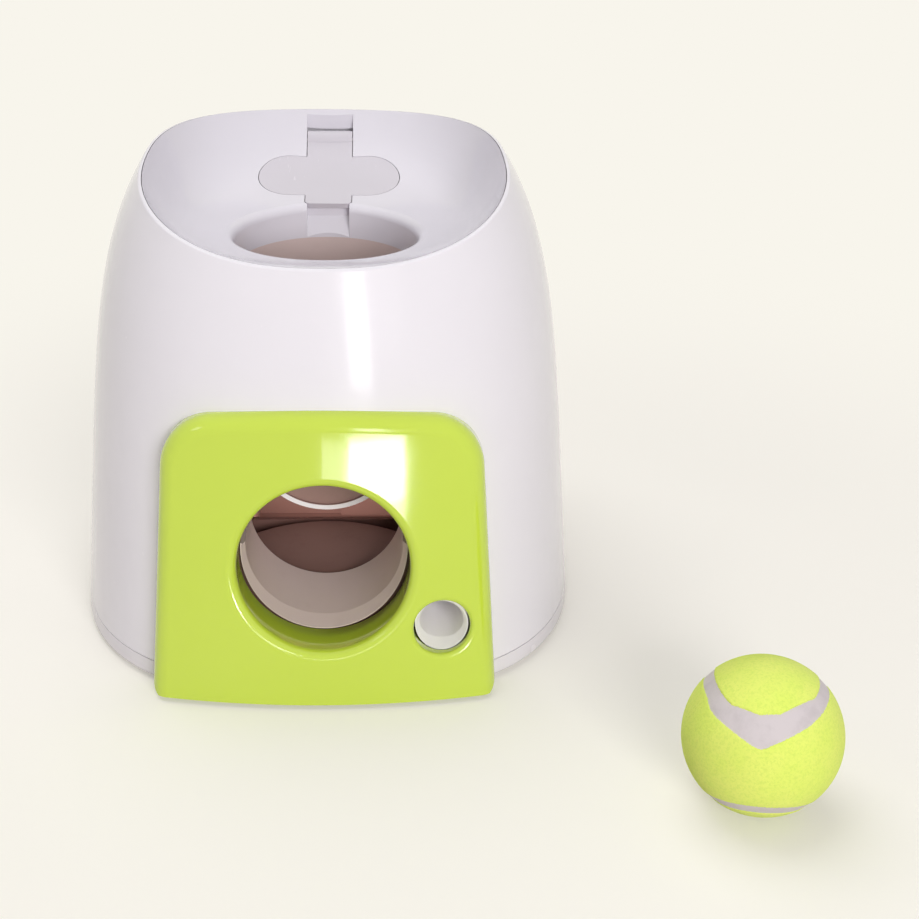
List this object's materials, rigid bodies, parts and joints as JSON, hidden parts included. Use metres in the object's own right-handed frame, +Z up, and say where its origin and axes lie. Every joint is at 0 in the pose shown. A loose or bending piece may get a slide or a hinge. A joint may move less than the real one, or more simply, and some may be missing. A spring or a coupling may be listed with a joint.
{
  "type": "dog treat dispensing machine",
  "caption": "Fetch game treat dispenser: a ball dropped in the top bowl trips a paddle, rolls out of the front and turns a drum that drops treats down a chute.",
  "frame": {"origin": "on the floor under the middle of the machine, 2 mm below the flat underside of the base tray, level with the soles of the rubber feet", "axes": "+Z up, the lime front panel and both outlets face -Y, +X to the right as seen from the front"},
  "size_m": [0.3267, 0.3597, 0.2123],
  "materials": {
    "white_casing": "glossy moulded ABS, white with a faint lilac tint",
    "bowl_white": "glossy moulded ABS, cool white",
    "lid_white": "satin moulded ABS, cool white",
    "lime_panel": "glossy moulded ABS, lime green",
    "base_white": "satin moulded ABS, white",
    "tube_white": "glossy moulded ABS, white",
    "channel_grey": "matt moulded ABS, warm dark grey",
    "flap_grey": "satin polypropylene, light grey",
    "paddle_plastic": "satin acetal, grey",
    "gear_plastic": "satin acetal, natural white",
    "hopper_plastic": "satin polypropylene, pale grey",
    "drum_plastic": "satin acetal, green",
    "bush_plastic": "self-lubricating acetal, black",
    "steel": "bright drawn stainless steel",
    "screw_steel": "zinc plated steel",
    "foot_rubber": "matt black rubber",
    "ball_rubber": "matt rubber",
    "ball_felt": "brushed felt, optic yellow-green",
    "ball_seam": "smooth rubber seam, pale lilac grey"
  },
  "bodies": {
    "machine": {"body_shell": "white_casing", "top_bowl": "bowl_white", "front_panel": "lime_panel", "base_tray": "base_white", "treat_hopper": "hopper_plastic", "treat_chute": "tube_white", "lid_pin": "steel", "drop_tube": "tube_white", "exit_tube": "tube_white", "ball_channel": "channel_grey", "flap_pin": "steel", "paddle_spring": "steel", "paddle_bushes": "bush_plastic", "drum_bushes": "bush_plastic", "treat_tray": "hopper_plastic", "base_screws": "screw_steel", "cover_screws": "screw_steel", "tube_screws": "screw_steel", "hopper_screws": "screw_steel", "channel_screws": "screw_steel", "panel_screws": "screw_steel", "rubber_feet": "foot_rubber"},
    "lid": {"hopper_lid": "lid_white"},
    "flap": {"exit_flap": "flap_grey"},
    "paddle": {"trip_paddle": "paddle_plastic", "paddle_shaft": "steel", "sector_gear": "gear_plastic"},
    "drum": {"metering_drum": "drum_plastic", "drum_shaft": "steel", "drum_pinion": "gear_plastic", "shaft_clips": "steel"},
    "ball": {"ball_core": "ball_rubber", "ball_felt": "ball_felt", "ball_seam": "ball_seam"}
  },
  "joints": [
    {"name": "lid_hinge", "type": "hinge", "parent": "machine", "child": "lid", "pos_m": [0, 0.0784, 0.1963], "axis": [-1, 0, 0], "range_deg": [0, 95]},
    {"name": "flap_hinge", "type": "hinge", "parent": "machine", "child": "flap", "pos_m": [0, -0.052, 0.108], "axis": [-1, 0, 0], "range_deg": [0, 75]},
    {"name": "paddle_pivot", "type": "hinge", "parent": "machine", "child": "paddle", "pos_m": [0, 0.028, 0.048], "axis": [1, 0, 0], "range_deg": [0, 24], "stiffness_Nm_per_rad": 0.012, "springref_deg": -45.84, "deforming": ["paddle_spring"]},
    {"name": "drum_spin", "type": "hinge", "parent": "machine", "child": "drum", "pos_m": [0, 0.06157, 0.125], "axis": [1, 0, 0], "range_deg": [-126, 0]},
    {"name": "ball_lift", "type": "slide", "parent": "machine", "child": "ball", "axis": [0, 0, 1], "range_m": [0, 0.3]}
  ],
  "couplings": [
    {"joint": "drum_spin", "follows": "paddle_pivot", "ratio": -5.2222}
  ]
}
